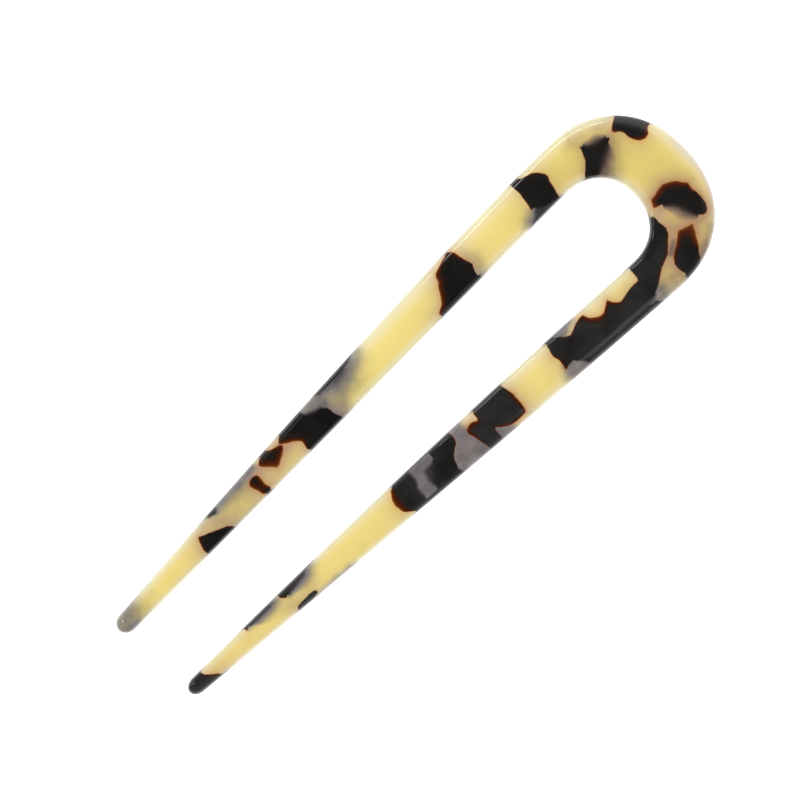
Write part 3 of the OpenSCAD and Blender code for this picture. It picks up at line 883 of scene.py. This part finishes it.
def make_floor():
    """A plain white light table under the pin."""
    half, drop = FLOOR_REACH * MM, FLOOR_DROP * MM
    corners = [(-half, -half, -drop), (half, -half, -drop), (half, half, -drop), (-half, half, -drop)]
    mesh = bpy.data.meshes.new("floor")
    mesh.from_pydata(corners, [], [(0, 1, 2, 3)])
    floor = bpy.data.objects.new("floor", mesh)
    bpy.context.scene.collection.objects.link(floor)
    tree = Tree("floor_white")
    tree.feed(tree.shader.inputs["Base Color"], tree.blend(tree.noise(FLOOR_BLOTCH), *FLOOR_SHADES))
    tree.shader.inputs["Roughness"].default_value = 0.8
    tree.shader.inputs["Specular IOR Level"].default_value = 0.2
    tree.shader.inputs["Emission Color"].default_value = (1.0, 1.0, 1.0, 1.0)
    tree.shader.inputs["Emission Strength"].default_value = FLOOR_GLOW
    mesh.materials.append(tree.material)


def add_panel(name, tilt, azimuth, size, radiance, slide, gleam):
    """One soft panel light of the tables. A gleam is only seen mirrored in the polish, and any
    other panel only lights the pin."""
    width, length = [side * MM for side in size]
    light = bpy.data.lights.new(name, "AREA")
    light.shape = "RECTANGLE"
    light.size, light.size_y = width, length
    light.energy = radiance * math.pi * width * length
    panel = bpy.data.objects.new(name, light)
    lean, turn = math.radians(tilt), math.radians(azimuth)
    away = PANEL_DISTANCE * MM
    panel.location = (away * math.sin(lean) * math.cos(turn), away * math.sin(lean) * math.sin(turn),
                      away * math.cos(lean))
    panel.rotation_euler = (0, lean, turn)
    panel.location.x += slide * MM * math.sin(turn)
    panel.location.y -= slide * MM * math.cos(turn)
    panel.visible_glossy = gleam
    panel.visible_diffuse = not gleam
    bpy.context.scene.collection.objects.link(panel)


def make_surroundings():
    """A dim pale room, darkest overhead and brightest low down beyond the bow's left shoulder."""
    world = bpy.data.worlds.new("studio")
    world.use_nodes = True
    bpy.context.scene.world = world
    nodes, links = world.node_tree.nodes, world.node_tree.links
    place = nodes.new("ShaderNodeTexCoord")
    towards = nodes.new("ShaderNodeVectorMath")
    towards.operation = "DOT_PRODUCT"
    towards.inputs[1].default_value = BRIGHT_SIDE
    height = nodes.new("ShaderNodeSeparateXYZ")
    links.new(place.outputs["Generated"], towards.inputs[0])
    links.new(place.outputs["Generated"], height.inputs[0])
    shades = []
    for value, stops in ((towards.outputs["Value"], SIDE_BRIGHTNESS),
                         (height.outputs["Z"], HEIGHT_BRIGHTNESS)):
        ramp = nodes.new("ShaderNodeValToRGB")
        line = ramp.color_ramp.elements
        line.new(1.0)
        for element, (at, shade) in zip(line, stops):
            element.position, element.color = at, (shade, shade, shade, 1)
        links.new(value, ramp.inputs["Fac"])
        shades.append(ramp.outputs["Color"])
    lighter = nodes.new("ShaderNodeVectorMath")
    lighter.operation = "MAXIMUM"
    links.new(shades[0], lighter.inputs[0])
    links.new(shades[1], lighter.inputs[1])
    links.new(lighter.outputs["Vector"], nodes["Background"].inputs["Color"])
    nodes["Background"].inputs["Strength"].default_value = 1.0


def make_camera():
    lens = bpy.data.cameras.new("camera")
    lens.sensor_fit = "HORIZONTAL"
    lens.sensor_width = SENSOR_WIDTH
    lens.lens = SENSOR_WIDTH * (CAMERA_HEIGHT - SHEET_T / 2) / VIEW_WIDTH
    lens.clip_start, lens.clip_end = 0.01, 20
    camera = bpy.data.objects.new("camera", lens)
    camera.location = (VIEW_CENTRE[0] * MM, VIEW_CENTRE[1] * MM, CAMERA_HEIGHT * MM)
    camera.rotation_euler = (0, 0, -VIEW_TURN)
    bpy.context.scene.collection.objects.link(camera)
    bpy.context.scene.camera = camera


make_camera()
make_surroundings()
for name, panel in GLEAMS.items():
    add_panel(name, *panel, gleam=True)
for name, panel in FILLS.items():
    add_panel(name, *panel, gleam=False)
make_floor()
dress_pin()
bpy.context.scene.view_settings.view_transform = "Standard"
